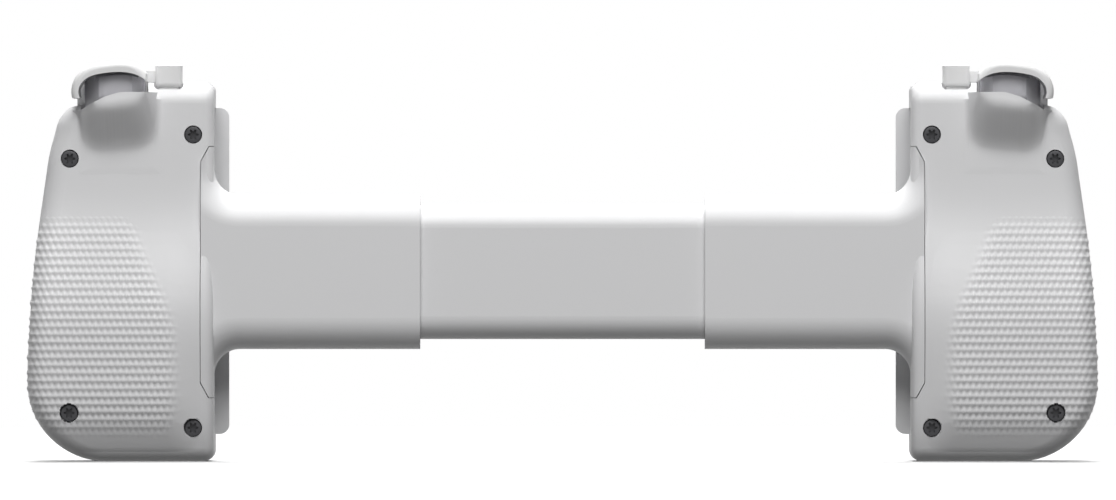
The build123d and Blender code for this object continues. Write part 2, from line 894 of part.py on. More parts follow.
def pinion_axle():
    """Headed axle through the pinion, from the base into the cover."""
    head_y = centre_front_y - centre_base_thickness + pin_gap
    axle = rod_y(0, bridge_z, centre_rear_y + centre_wall / 2 + pin_gap, head_y, axle_r)
    return axle + rod_y(0, bridge_z, head_y, head_y + axle_head, axle_head_r)


def tooth():
    """A tooth's depth below and height above the pitch line, and its half widths there."""
    low, high = gear_module * dedendum_share, gear_module * addendum_share
    flank = math.tan(math.radians(pressure_angle))
    half = math.pi * gear_module / 4 - tooth_backlash / 2
    return low, high, half + low * flank, half - high * flank


def rack():
    """The left grip's rack, which runs under the pinion with its teeth up."""
    pitch = math.pi * gear_module
    inner, outer, root, tip = tooth()
    pitch_z = bridge_z - pitch_r
    start = -rack_past_centre
    count = int((centre_slide_in + centre_slide_out + 2 * rack_past_centre) / pitch)
    first = 1 - int(rack_past_centre / pitch)
    back_low = pitch_z - inner - rack_back
    points = [(start, back_low), (start, pitch_z - inner)]
    for index in range(first, first + count):
        x = (index + gap_share) * pitch
        points += [
            (x - root, pitch_z - inner), (x - tip, pitch_z + outer),
            (x + tip, pitch_z + outer), (x + root, pitch_z - inner),
        ]
    points += [(rack_end_x, pitch_z - inner), (rack_end_x, back_low)]
    return slab(make_face(Polyline(*points, close=True)), rack_rear(), rack_front())


def pinion():
    """The pinion, a tooth straight down into a gap of the left rack."""
    low, high, root, tip = tooth()
    root_r, outer_r = pitch_r - low, pitch_r + high
    gear = rod_y(0, bridge_z, rack_rear(), rack_front(), root_r)
    cog = slab(
        make_face(Polyline(
            (-root, root_r - gear_module), (-root, root_r), (-tip, outer_r), (tip, outer_r),
            (root, root_r), (root, root_r - gear_module), close=True,
        )),
        rack_rear(), rack_front(),
    )
    for index in range(pinion_teeth):
        gear += Pos(0, 0, bridge_z) * Rot(Y=360 / pinion_teeth * index) * cog
    return gear - rod_y(0, bridge_z, rack_rear() - overrun, 0, axle_r + pin_gap)


def pull_spring():
    """Closing spring, its turns as a tube with a hook at each end."""
    y = spring_axis_y()
    inner_r = pull_spring_r - spring_wire
    turns = rod_x(y, pull_spring_z, pull_spring_start_x, pull_spring_end_x, pull_spring_r - seam)
    turns -= rod_x(
        y, pull_spring_z, pull_spring_start_x + spring_wire, pull_spring_end_x - spring_wire, inner_r - seam
    )
    for x in (pull_spring_start_x - spring_eye(), pull_spring_end_x + spring_eye()):
        eye = rod_y(x, pull_spring_z, y - spring_wire / 2, y + spring_wire / 2, eye_r())
        turns += eye - rod_y(x, pull_spring_z, y - spring_wire, y + spring_wire, spring_post_r + pin_gap)
    return turns


def flex_cable():
    """Ribbon between the two boards, folded back on itself in the middle."""
    half = flex_thickness / 2
    fold = (flex_front_y - flex_rear_y) / 2
    middle_y = (flex_front_y + flex_rear_y) / 2
    low, high = flex_z - flex_width / 2, flex_z + flex_width / 2
    ribbon = block(-flex_end_x, flex_fold_x, flex_rear_y - half, flex_rear_y + half, low, high)
    ribbon += block(-flex_fold_x, flex_end_x, flex_front_y - half, flex_front_y + half, low, high)
    bend = Pos(0, 0, flex_z) * (
        Cylinder(fold + half, flex_width) - Cylinder(fold - half, 2 * flex_width)
    )
    ribbon += (Pos(flex_fold_x, middle_y, 0) * bend) & block(
        flex_fold_x, flex_fold_x + overrun, -half_width, 0, low, high
    )
    ribbon = ribbon - block(
        -flex_end_x - overrun, -flex_fold_x - fold - half, flex_rear_y - half, flex_rear_y + half, low, high
    )
    ribbon += (Pos(-flex_fold_x, middle_y, 0) * bend) & block(
        -flex_fold_x - overrun, -flex_fold_x, -half_width, 0, low, high
    )
    return ribbon + block(
        -flex_end_x, -flex_fold_x + half, flex_front_y - half, flex_front_y + half, low, high
    )


# Pieces inside and on the face of a grip

def phone_pad():
    """Ribbed rubber pad at the end of the phone channel."""
    low, high = lip_low_z + pad_margin, lip_high_z - pad_margin
    front = face_y - lip_thickness - pad_margin / 2
    rear = phone_back_y + pad_margin / 2
    body_x = pad_face_x + pad_rib
    pad = block(body_x, pad_face_x + pad_thickness, rear, front, low, high)
    count = int((high - low) / pad_rib_pitch)
    for index in range(count):
        z = low + pad_rib_pitch * (index + gap_share)
        pad += block(pad_face_x, body_x + seam, rear, front, z - pad_rib, z + pad_rib)
    return pad


def rear_screws(back):
    """The four countersunk screws of a grip, each with a six-sided socket."""
    screws = []
    for x, z in screw_places():
        top = depth_at(back, x, z) + screw_sink
        screw = rod_y(x, z, top, top + screw_head, screw_head_r)
        crown = [edge for edge in screw.edges() if near(edge.center().Y, top)]
        screw = screw.chamfer(screw_rim, None, crown)
        screw += rod_y(x, z, top + screw_head, top + screw_head + screw_length, screw_shank_r)
        socket = Plane.XZ.offset(-top - screw_socket) * (Pos(x, z) * RegularPolygon(screw_socket_r, 6))
        screws.append(screw - extrude(socket, screw_socket + overrun))
    return Compound(children=screws)


def board():
    """Circuit board cut to the grip's hollow, with notches for columns and the plug."""
    outline = offset(grip_inside(), -board_margin, kind=Kind.INTERSECTION)
    plate = slab(outline, board_rear_y, board_rear_y + board_thickness)
    plate -= above_shelf(-overrun, face_y, -wall - bumper_skirt)
    channel = pad_face_x + pad_thickness + face_wall + board_margin
    plate -= block(0, channel, -overrun, face_y, 0, grip_top_z)
    for x, z in screw_places():
        plate -= rod_y(x, z, -overrun, face_y, boss_r + running_gap)
    half = plug_base_width / 2 + running_gap
    return plate - block(0, plug_base_x + running_gap, -overrun, face_y, bridge_z - half, bridge_z + half)


def stick_module(x, z):
    """The stick's housing, open towards the face, with holes for the yoke."""
    half = stick_housing / 2
    rear = board_rear_y + board_thickness
    housing = block(x - half, x + half, rear, stick_housing_y, z - half, z + half)
    inner = half - stick_housing_wall
    housing -= block(
        x - inner, x + inner, rear + stick_housing_wall / 2, stick_housing_y + overrun, z - inner, z + inner
    )
    return housing - rod_x(stick_pivot_y, z, x - half - overrun, x + half + overrun, stick_trunnion_r + pin_gap)


def stick_yoke(x, z):
    """The yoke that turns on the housing and carries the rocker."""
    half_x, half_z, half_y = stick_yoke_length / 2, stick_yoke_width / 2, stick_yoke_y / 2
    yoke = block(
        x - half_x, x + half_x, stick_pivot_y - half_y, stick_pivot_y + half_y, z - half_z, z + half_z
    )
    yoke += rod_x(
        stick_pivot_y, z, x - stick_housing / 2 + seam, x + stick_housing / 2 - seam, stick_trunnion_r
    )
    core = stick_core / 2 + running_gap
    yoke -= block(x - core, x + core, 0, face_y, z - core, z + core)
    hole = Pos(x, stick_pivot_y, z) * Cylinder(stick_trunnion_r + pin_gap, stick_yoke_width + overrun)
    return yoke - hole


def stick_rocker(x, z):
    """The rocker inside the yoke, with the post that the cap sits on."""
    half = stick_core / 2
    rocker = block(x - half, x + half, stick_pivot_y - half, stick_pivot_y + half, z - half, z + half)
    rocker = rocker.fillet(half / 3, rocker.edges())
    rocker += Pos(x, stick_pivot_y, z) * Cylinder(stick_trunnion_r, stick_yoke_width - 2 * seam)
    return rocker + rod_y(x, z, stick_pivot_y, stick_post_y, stick_post_r)


def stick_cap(x, z):
    """The thumb cap: a dished disc, a stem and the dome that closes the hole."""
    rim_y = stick_top_y - stick_cap_rim
    cap = rod_y(x, z, rim_y, stick_top_y, stick_cap_r)
    cap = cap.fillet(stick_cap_rim / 3, cap.edges().filter_by(GeomType.CIRCLE))
    reach = (stick_dish_r ** 2 + stick_dish ** 2) / (2 * stick_dish)
    cap -= Pos(x, stick_top_y - stick_dish + reach, z) * Sphere(reach)
    cap += rod_y(x, z, stick_pivot_y + stick_dome_r - stick_dome_wall, rim_y + seam, stick_stem_r)
    centre = Pos(x, stick_pivot_y, z)
    dome = centre * Sphere(stick_dome_r) - centre * Sphere(stick_dome_r - stick_dome_wall)
    cut_y = stick_pivot_y + stick_dome_r * math.cos(math.radians(stick_dome_angle))
    dome -= block(x - 2 * stick_dome_r, x + 2 * stick_dome_r, -2 * stick_dome_r, cut_y,
                  z - 2 * stick_dome_r, z + 2 * stick_dome_r)
    socket_r = stick_post_r + pin_gap
    return (cap + dome) - rod_y(x, z, 0, stick_post_y + button_flange, socket_r)


def button(x, z, radius, top_y):
    """A round button: cap, retaining flange and stem."""
    key = rod_y(x, z, button_flange_y - seam, top_y, radius)
    crown = [edge for edge in key.edges() if near(edge.center().Y, top_y)]
    key = key.fillet(button_round, crown)
    key += rod_y(x, z, button_flange_y - button_flange, button_flange_y, radius + button_flange)
    return key + rod_y(x, z, button_stem_y, button_flange_y - button_flange, radius * button_stem_share)


def face_button_places():
    """The four face buttons in a diamond: top, outer, bottom, inner."""
    ring = face_button_ring
    return {
        "north": (face_buttons_x, face_buttons_z + ring),
        "west": (face_buttons_x - ring, face_buttons_z),
        "south": (face_buttons_x, face_buttons_z - ring),
        "east": (face_buttons_x + ring, face_buttons_z),
    }


def small_button_places():
    """The two small buttons beside the phone."""
    return [(small_button_high_x, small_button_high_z), (small_button_low_x, small_button_low_z)]


def dpad_cross(grow, y0, y1, corner):
    """The D-pad's cross, grown by a gap."""
    reach, half = dpad_reach + grow, dpad_width / 2 + grow
    across = profile(
        [(-reach, -half), (reach, -half), (reach, half), (-reach, half)], [corner] * 4
    )
    up = Rot(Z=90) * across
    return slab(Pos(dpad_x, dpad_z) * (across + up), y0, y1)


def dpad():
    """The D-pad with its retaining disc and pivot stem."""
    cross = dpad_cross(0, dpad_disc_y - seam, dpad_top_y, dpad_corner)
    cross = cross.fillet(dpad_round, cross.faces().sort_by(Axis.Y)[-1].edges())
    reach = (dpad_hollow_r ** 2 + dpad_hollow ** 2) / (2 * dpad_hollow)
    cross -= Pos(dpad_x, dpad_top_y - dpad_hollow + reach, dpad_z) * Sphere(reach)
    cross += rod_y(dpad_x, dpad_z, dpad_disc_y - dpad_disc, dpad_disc_y, dpad_disc_r)
    return cross + rod_y(dpad_x, dpad_z, dpad_stem_y, dpad_disc_y - dpad_disc, dpad_stem_r)


def dpad_pivot():
    """The small plate that the D-pad rocks on."""
    return rod_y(dpad_x, dpad_z, pivot_plate_y, pivot_plate_y + pivot_plate, pivot_plate_r)


def mat_dome(x, z, base_y, top_y, radius):
    """One rubber dome."""
    cone = Cone(radius, radius * button_stem_share, top_y - base_y)
    return Pos(x, (base_y + top_y) / 2, z) * Rot(X=-90) * cone


def button_mat(places, centre, reach):
    """Rubber mat under a group of buttons, and a dome under each small button."""
    base = board_rear_y + board_thickness + pin_gap
    top = base + mat_thickness
    mat = rod_y(centre[0], centre[1], base, top, reach)
    for x, z in places:
        mat += mat_dome(x, z, top - pin_gap, button_stem_y - pin_gap, mat_dome_r)
    extras = []
    for x, z in small_button_places():
        pad = rod_y(x, z, base, top, mat_dome_r) + mat_dome(
            x, z, top - pin_gap, button_stem_y - pin_gap, mat_dome_r * gap_share
        )
        extras.append(pad)
    return mat, extras


def small_button_holes(shell):
    """Holes in a front moulding for its two small buttons."""
    for x, z in small_button_places():
        shell -= rod_y(x, z, face_y - 2 * face_wall, face_y + overrun, small_button_r + button_gap)
    return shell


def stick_hole(shell, x, z):
    """Hole and shallow dish in a front moulding for a stick."""
    shell -= rod_y(x, z, face_y - 2 * face_wall, face_y + overrun, stick_hole_r)
    return shell - Pos(x, face_y - stick_well / 2, z) * Rot(X=-90) * Cone(
        stick_hole_r, stick_well_r, stick_well
    )


def left_front():
    """Front moulding for the player's left hand: stick above, D-pad below."""
    shell = small_button_holes(stick_hole(front_shell(), left_stick_x, left_stick_z))
    return shell - dpad_cross(dpad_gap, face_y - 2 * face_wall, face_y + overrun, dpad_corner + dpad_gap)


def right_front():
    """Front moulding for the player's right hand, modelled as if on the left."""
    shell = small_button_holes(stick_hole(front_shell(), right_stick_x, right_stick_z))
    for x, z in face_button_places().values():
        shell -= rod_y(x, z, face_y - 2 * face_wall, face_y + overrun, face_button_r + button_gap)
    half_w, half_t = plug_base_width / 2 + seam, plug_base_thickness / 2 + seam
    shell -= block(
        grip_inner_x, plug_base_x, plug_y - half_t, plug_y + half_t, bridge_z - half_w, bridge_z + half_w
    )
    shell -= port_body(seam, 0)
    return shell - rod_y(small_button_low_x, lens_z, face_y - 2 * face_wall, face_y + overrun, lens_r + pin_gap)


def usb_plug():
    """The plug that enters the phone, on a base held in the grip's wall."""
    half_w, half_t = plug_width / 2, plug_thickness / 2
    def section(inset):
        outline = SlotOverall(plug_width - 2 * inset, plug_thickness - 2 * inset)
        return Pos(plug_y, bridge_z) * Rot(Z=90) * outline
    tip = pad_face_x - plug_reach
    shell = bar_x(section(0), tip, pad_face_x)
    shell -= bar_x(section(plug_wall), tip - overrun, tip + plug_hollow)
    base_w, base_t = plug_base_width / 2, plug_base_thickness / 2
    base = block(
        pad_face_x, plug_base_x - seam, plug_y - base_t, plug_y + base_t,
        bridge_z - base_w, bridge_z + base_w,
    )
    base = base.fillet(half_t / 2, base.edges().filter_by(Axis.X))
    return shell + base


def port_body(grow, low):
    """The charge port's block, grown by a gap."""
    outline = SlotOverall(port_width + 2 * grow, port_thickness + 2 * grow)
    return extrude(Plane.XY.offset(low) * Pos(port_x, port_y) * outline, port_length)


def charge_port():
    """The charge port in the lower edge, with its tongue."""
    body = port_body(0, port_inset)
    hollow = SlotOverall(port_width - 2 * port_wall, port_thickness - 2 * port_wall)
    body -= extrude(Plane.XY * Pos(port_x, port_y) * hollow, port_length - port_wall)
    half = port_width / 3
    return body + block(
        port_x - half, port_x + half, port_y - port_tongue / 2, port_y + port_tongue / 2,
        port_inset + port_wall, port_length,
    )


def status_lens():
    """Clear light window in the face."""
    return rod_y(small_button_low_x, lens_z, face_y - lens_length, face_y, lens_r)


# Assembly

parts = {}


def add_pair(name, shape):
    """Keep a piece for the left grip and its mirror image for the right one."""
    parts["left_" + name] = shape
    parts["right_" + name] = mirror(shape, about=Plane.YZ)


def add_right(name, shape):
    """Keep a piece that only the right grip has."""
    parts[name] = mirror(shape, about=Plane.YZ)


back = grip_back()
add_pair("rear_shell", rear_shell(back))
parts["left_arm_cover"] = arm_cover(back, -1)
add_right("right_arm_cover", arm_cover(back, 1))
add_pair("arm_base", arm_base())
add_pair("rear_screws", rear_screws(back))
cap = trigger_cap()
add_pair("trigger_cap", cap)
add_pair("trigger_core", trigger_core(cap))
add_pair("trigger_pin", trigger_pin())
add_pair("trigger_spring", trigger_spring())
add_pair("bumper", bumper())
add_pair("top_button", top_button())
add_pair("board", board())
add_pair("pull_spring", pull_spring())

parts["left_front_shell"] = left_front()
add_right("right_front_shell", right_front())
parts["left_phone_pad"] = phone_pad()
plug_clear = block(
    0, half_width, plug_y - plug_base_thickness, plug_y + plug_base_thickness,
    bridge_z - plug_base_width / 2 - running_gap, bridge_z + plug_base_width / 2 + running_gap,
)
add_right("right_phone_pad", phone_pad() - plug_clear)

parts["left_rack"] = rack()
parts["right_rack"] = Pos(0, 0, bridge_z) * Rot(Y=180) * Pos(0, 0, -bridge_z) * rack()
parts["pinion"] = pinion()
parts["pinion_axle"] = pinion_axle()
parts["centre_cover"] = centre_cover()
parts["centre_base"] = centre_base()
parts["flex_cable"] = flex_cable()

stick_makers = {"stick_housing": stick_module, "stick_yoke": stick_yoke, "stick_rocker": stick_rocker,
                "stick_cap": stick_cap}
for name, maker in stick_makers.items():
    parts["left_" + name] = maker(left_stick_x, left_stick_z)
    add_right("right_" + name, maker(right_stick_x, right_stick_z))

for name, (x, z) in face_button_places().items():
    add_right("button_" + name, button(x, z, face_button_r, face_button_top_y))
for name, (x, z) in zip(("upper", "lower"), small_button_places()):
    add_pair(name + "_small_button", button(x, z, small_button_r, small_button_top_y))

parts["dpad"] = dpad()
parts["dpad_pivot"] = dpad_pivot()
arm_reach = dpad_reach - mat_dome_r
dpad_spots = [(dpad_x + dx * arm_reach, dpad_z + dz * arm_reach) for dx, dz in ((1, 0), (-1, 0), (0, 1), (0, -1))]
left_mat, left_extras = button_mat(dpad_spots, (dpad_x, dpad_z), dpad_reach)
right_mat, right_extras = button_mat(
    face_button_places().values(), (face_buttons_x, face_buttons_z), face_button_ring + mat_dome_r
)
parts["left_button_mat"] = Compound(children=[left_mat] + left_extras)
add_right("right_button_mat", Compound(children=[right_mat] + right_extras))

add_right("usb_plug", usb_plug())
add_right("charge_port", charge_port())
add_right("status_lens", status_lens())

os.makedirs("parts", exist_ok=True)
for name, shape in parts.items():
    export_step(shape, "parts/" + name + ".step")
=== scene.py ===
import math

import bmesh
import bpy
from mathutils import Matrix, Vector
from mathutils.bvhtree import BVHTree


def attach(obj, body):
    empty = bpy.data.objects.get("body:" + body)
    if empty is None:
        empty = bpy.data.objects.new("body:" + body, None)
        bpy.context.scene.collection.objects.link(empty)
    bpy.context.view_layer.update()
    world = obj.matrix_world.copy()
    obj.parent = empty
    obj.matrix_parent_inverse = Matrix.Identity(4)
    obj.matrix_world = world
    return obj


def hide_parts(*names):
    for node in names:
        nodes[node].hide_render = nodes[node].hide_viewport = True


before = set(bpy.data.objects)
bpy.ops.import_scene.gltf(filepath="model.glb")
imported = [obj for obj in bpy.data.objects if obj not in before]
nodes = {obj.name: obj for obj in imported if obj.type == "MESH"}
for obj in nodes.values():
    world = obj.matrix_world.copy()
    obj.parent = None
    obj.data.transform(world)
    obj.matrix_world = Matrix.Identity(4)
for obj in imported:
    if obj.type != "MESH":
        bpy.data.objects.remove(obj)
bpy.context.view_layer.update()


# Grip shells
# Each grip is a rear and a front half shell, injection moulded in white ABS with a
# fine spark-eroded grain, and screwed together along a seam round the side.

# Each grip's side, with the sign of its X.
SIDES = {"left": 1, "right": -1}
SHELL_WHITE = "#DCDCDD"
# The real grain is finer, about 0.1 mm, and is drawn this coarse so that it shows.
SHELL_GRAIN_MM = 0.35
SHELL_GRAIN_DEPTH_MM = 0.012
SHELL_GRAIN_DETAIL = 2.0
SHELL_GRAIN_STRENGTH = 0.6


def linear(colour):
    """An sRGB hex colour as linear values."""
    values = [int(colour[place:place + 2], 16) / 255 for place in (1, 3, 5)]
    return [v / 12.92 if v <= 0.04045 else ((v + 0.055) / 1.055) ** 2.4 for v in values] + [1.0]


def add_node(material, kind, inputs=None, **settings):
    """One node in a material or world, with its settings and what feeds its sockets."""
    node = material.node_tree.nodes.new(kind)
    for name, value in settings.items():
        setattr(node, name, value)
    for name, value in (inputs or {}).items():
        if isinstance(value, bpy.types.NodeSocket):
            material.node_tree.links.new(value, node.inputs[name])
        else:
            node.inputs[name].default_value = value
    return node


def new_material(name, colour, roughness, **sockets):
    """A plain surface: a colour, a roughness and any other socket of the shader."""
    material = bpy.data.materials.new(name)
    material.use_nodes = True
    shader = material.node_tree.nodes["Principled BSDF"]
    shader.inputs["Base Color"].default_value = linear(colour)
    shader.inputs["Roughness"].default_value = roughness
    for socket, value in sockets.items():
        shader.inputs[socket.replace("_", " ")].default_value = value
    return material


def paint(names, material):
    """Gives solid pieces a material."""
    for name in names:
        for slot in nodes[name].material_slots:
            slot.material = material


# Moulded ABS with a spark-eroded grain: soft, wide highlights that never sharpen.
shell_plastic = new_material("White grained ABS", SHELL_WHITE, 0.46, IOR=1.5)
grain_place = add_node(shell_plastic, "ShaderNodeTexCoord")
grain = add_node(
    shell_plastic, "ShaderNodeTexNoise",
    {
        "Vector": grain_place.outputs["Object"], "Scale": 1000 / SHELL_GRAIN_MM,
        "Detail": SHELL_GRAIN_DETAIL,
    },
)
grain_bump = add_node(
    shell_plastic, "ShaderNodeBump",
    {
        "Height": grain.outputs["Fac"], "Distance": SHELL_GRAIN_DEPTH_MM / 1000,
        "Strength": SHELL_GRAIN_STRENGTH,
    },
)
shell_shader = shell_plastic.node_tree.nodes["Principled BSDF"]
shell_plastic.node_tree.links.new(grain_bump.outputs["Normal"], shell_shader.inputs["Normal"])
for side in SIDES:
    paint([side + "_rear_shell", side + "_front_shell"], shell_plastic)


# Palm swell and grip texture
# The back of each grip fills the palm, full from the middle to the heel and soft towards the
# inner edge. Its outer part is moulded with rows of small raised lozenges in the shell's own
# plastic, which fade out at the edges.
ROW_MM = 1.78
COLUMN_MM = 1.43
LOZENGE_MM = 0.34
# How far the skin's border sinks into the shell, and how thick its wall is.
SUNK_MM = 0.06
SKIN_WALL_MM = 0.4
SEEN_FROM_MM = 60
CREASE_DEGREES = 50
# Where the back is shallower than this, the skin has nothing to lie on.
OPEN_MM = 3.5
PATCH_X = (82.0, 123.2)
PATCH_Z = (2.0, 60.0)
PATCH_STEPS = (216, 240)
# How far the palm swells past the back's plain profile, as height and depth in mm.
SWELL_MM = [
    (2.0, 0.0), (4.0, 0.4), (6.0, 0.8), (9.0, 1.4), (12.0, 1.7), (15.0, 1.8), (19.0, 1.65),
    (26.0, 1.1), (32.0, 0.8), (36.0, 0.65), (40.0, 0.42), (44.0, 0.25), (50.0, 0.08), (57.0, 0.0),
]
# Where it rises from the inner edge, and how far the back falls away before it is gone.
SWELL_INNER_MM = (82.6, 91.0)
EDGE_FALL_MM = 4.4
MIDDLE_X = 100
SWELL_SEEN_MM = 0.25
# Where the texture begins: its inner edge low down, how far that edge moves out above and
# at the foot, over which heights, and how wide each border fades.
TEXTURE_INNER_X = 87.0
TEXTURE_LEAN_MM = 10.6
TEXTURE_LEAN_Z = (26.0, 60.0)
TEXTURE_FOOT_MM = 1.5
TEXTURE_FOOT_Z = (16.0, 4.0)
TEXTURE_FADE_MM = 5.0
TEXTURE_LOW_Z = (4.5, 11.0)
TEXTURE_HIGH_Z = (50.0, 59.0)
LEAST_COVER = 0.02
PROUD_MM = 0.01
# How fast a lozenge falls off sideways and upwards, and the power that rounds it.
LOZENGE_ACROSS = 0.75
LOZENGE_UP = 0.95
LOZENGE_ROUND = 0.8


def smooth_step(value, start, end):
    """0 before start, 1 after end, and a soft rise between them."""
    share = min(1.0, max(0.0, (value - start) / (end - start)))
    return share * share * (3 - 2 * share)


def texture_fade(x, z):
    """How much of the texture stands at a place, in mm from the middle and the foot."""
    inner = (
        TEXTURE_INNER_X + TEXTURE_LEAN_MM * smooth_step(z, *TEXTURE_LEAN_Z)
        + TEXTURE_FOOT_MM * smooth_step(z, *TEXTURE_FOOT_Z)
    )
    return (
        smooth_step(x, inner, inner + TEXTURE_FADE_MM)
        * smooth_step(z, *TEXTURE_LOW_Z)
        * (1 - smooth_step(z, *TEXTURE_HIGH_Z))
    )


def swell(x, z, fall):
    """How far the palm stands out at a place, less towards the inner edge and the outline."""
    depth = 0.0
    for (low_z, low_mm), (high_z, high_mm) in zip(SWELL_MM, SWELL_MM[1:]):
        if low_z <= z < high_z:
            depth = low_mm + (high_mm - low_mm) * (z - low_z) / (high_z - low_z)
    return depth * smooth_step(x, *SWELL_INNER_MM) * smooth_step(fall, EDGE_FALL_MM, 0.0)


def lozenge(x, z):
    """Height of the lozenge pattern at a place, from 0 to 1."""
    row = z / ROW_MM
    across = x / COLUMN_MM + 0.5 * (math.floor(row) % 2)
    u = abs(across - math.floor(across) - 0.5) * 2
    v = abs(row - math.floor(row) - 0.5) * 2
    return max(0.0, 1 - (LOZENGE_ACROSS * u + LOZENGE_UP * v)) ** LOZENGE_ROUND


def seen_from_behind(tree, x, z):
    """Where the back of a piece lies at a place, and its normal, or nothing where it is open."""
    spot, normal, _, _ = tree.ray_cast(Vector((x, -SEEN_FROM_MM, z)) / 1000, Vector((0, 1, 0)))
    return spot, normal


def close_skin(piece, form, gone):
    """Takes the vertices that are gone out of a sheet and gives it a wall inwards."""
    bmesh.ops.delete(form, geom=gone, context="VERTS")
    bmesh.ops.recalc_face_normals(form, faces=form.faces)
    if sum(face.normal.y for face in form.faces) > 0:
        bmesh.ops.reverse_faces(form, faces=form.faces)
    form.to_mesh(piece.data)
    form.free()
    wall = piece.modifiers.new("wall", "SOLIDIFY")
    wall.thickness = SKIN_WALL_MM / 1000
    wall.offset = -1
    bpy.ops.object.modifier_apply(modifier=wall.name)
    bpy.ops.object.shade_smooth_by_angle(angle=math.radians(CREASE_DEGREES))


def texture_patch(side, sign):
    """A skin over the outer back of a grip, swollen over the palm and raised into lozenges."""
    shell = nodes[side + "_rear_shell"]
    tree = BVHTree.FromObject(shell, bpy.context.evaluated_depsgraph_get())
    bpy.ops.object.select_all(action="DESELECT")
    bpy.ops.mesh.primitive_grid_add(x_subdivisions=PATCH_STEPS[0], y_subdivisions=PATCH_STEPS[1], size=1)
    patch = bpy.context.object
    patch.name = side + "_grip_texture"
    form = bmesh.new()
    form.from_mesh(patch.data)
    gone = []
    for vertex in form.verts:
        x = PATCH_X[0] + (vertex.co.x + 0.5) * (PATCH_X[1] - PATCH_X[0])
        z = PATCH_Z[0] + (vertex.co.y + 0.5) * (PATCH_Z[1] - PATCH_Z[0])
        spot, normal = seen_from_behind(tree, sign * x, z)
        if spot is None or spot.y > -OPEN_MM / 1000:
            gone.append(vertex)
            continue
        full, _ = seen_from_behind(tree, sign * MIDDLE_X, z)
        out = swell(x, z, 1000 * (spot.y - full.y))
        fade = texture_fade(x, z)
        cover = max(fade, min(1.0, out / SWELL_SEEN_MM))
        if cover <= LEAST_COVER:
            gone.append(vertex)
            continue
        lift = fade * LOZENGE_MM * lozenge(x, z) - SUNK_MM * (1 - cover) + PROUD_MM
        vertex.co = spot + normal * lift / 1000 - Vector((0, out / 1000, 0))
    close_skin(patch, form, gone)
    patch.data.materials.append(shell_plastic)
    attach(patch, side + "_grip")


for side, sign in SIDES.items():
    texture_patch(side, sign)


# Hoods
# Over each trigger's well the shell rises into a hood, moulded in one with it. Its form is
# blended: a long soft foot, no edge on its crown, and a rounded lip along the shelf.
HOOD_X = (91.6, 112.0)
HOOD_FOOT_Z = 65.5
HOOD_HIGHEST_Z = 87.0
HOOD_LOWEST_TOP_Z = 79
# Where the skin ends beside the hood, towards the grip's inner and outer edge.
HOOD_SIDE_TOPS_Z = (83.5, 80.6)
HOOD_STANDS_MM = 9.6
FLAT_MM = 9.0
HOOD_LIFT_MM = 0.55
# A skin has this many cells each way, a rounded lip along its top, and a lift that grows
# over a range of depths. Its edges are sunk and held short, and it is left out where shallow.
SKIN_STEPS = 90
SKIN_LIP_MM = 1.4
SKIN_LIP_SHARE = 0.3
SKIN_RISE_MM = (0.3, 4.0)
SKIN_SUNK_MM = 0.015
SKIN_SHORT_MM = 0.02
SKIN_BLENDS = 6
SKIN_MEET_MM = 0.12
SKIN_SHALLOW_MM = 6
SEARCH_MM = 0.05
HOOD_BLEND_CELLS = 4
HOOD_EDGE_CELLS = 12
HOOD_MOST_MM = 3.0


def back_depth(tree, sign, x, z):
    """How deep a piece's back lies at a place, in mm, or nothing where it is open."""
    spot, _ = seen_from_behind(tree, sign * x, z)
    return -1000 * spot.y if spot else 0.0


def hood_top(tree, sign, x):
    """Height of the shelf's edge above a place on the hood."""
    z = HOOD_HIGHEST_Z
    while z > HOOD_LOWEST_TOP_Z and back_depth(tree, sign, x, z) < HOOD_STANDS_MM:
        z -= SEARCH_MM
    if z > HOOD_LOWEST_TOP_Z:
        return z
    inner_top, outer_top = HOOD_SIDE_TOPS_Z
    return outer_top if x > MIDDLE_X else inner_top


def blend(rows, reach):
    """Each value averaged with its neighbours along its row, the ends kept."""
    done = []
    for row in rows:
        wide = [row[0]] * reach + row + [row[-1]] * reach
        done.append([sum(wide[i:i + 2 * reach + 1]) / (2 * reach + 1) for i in range(len(row))])
    return done


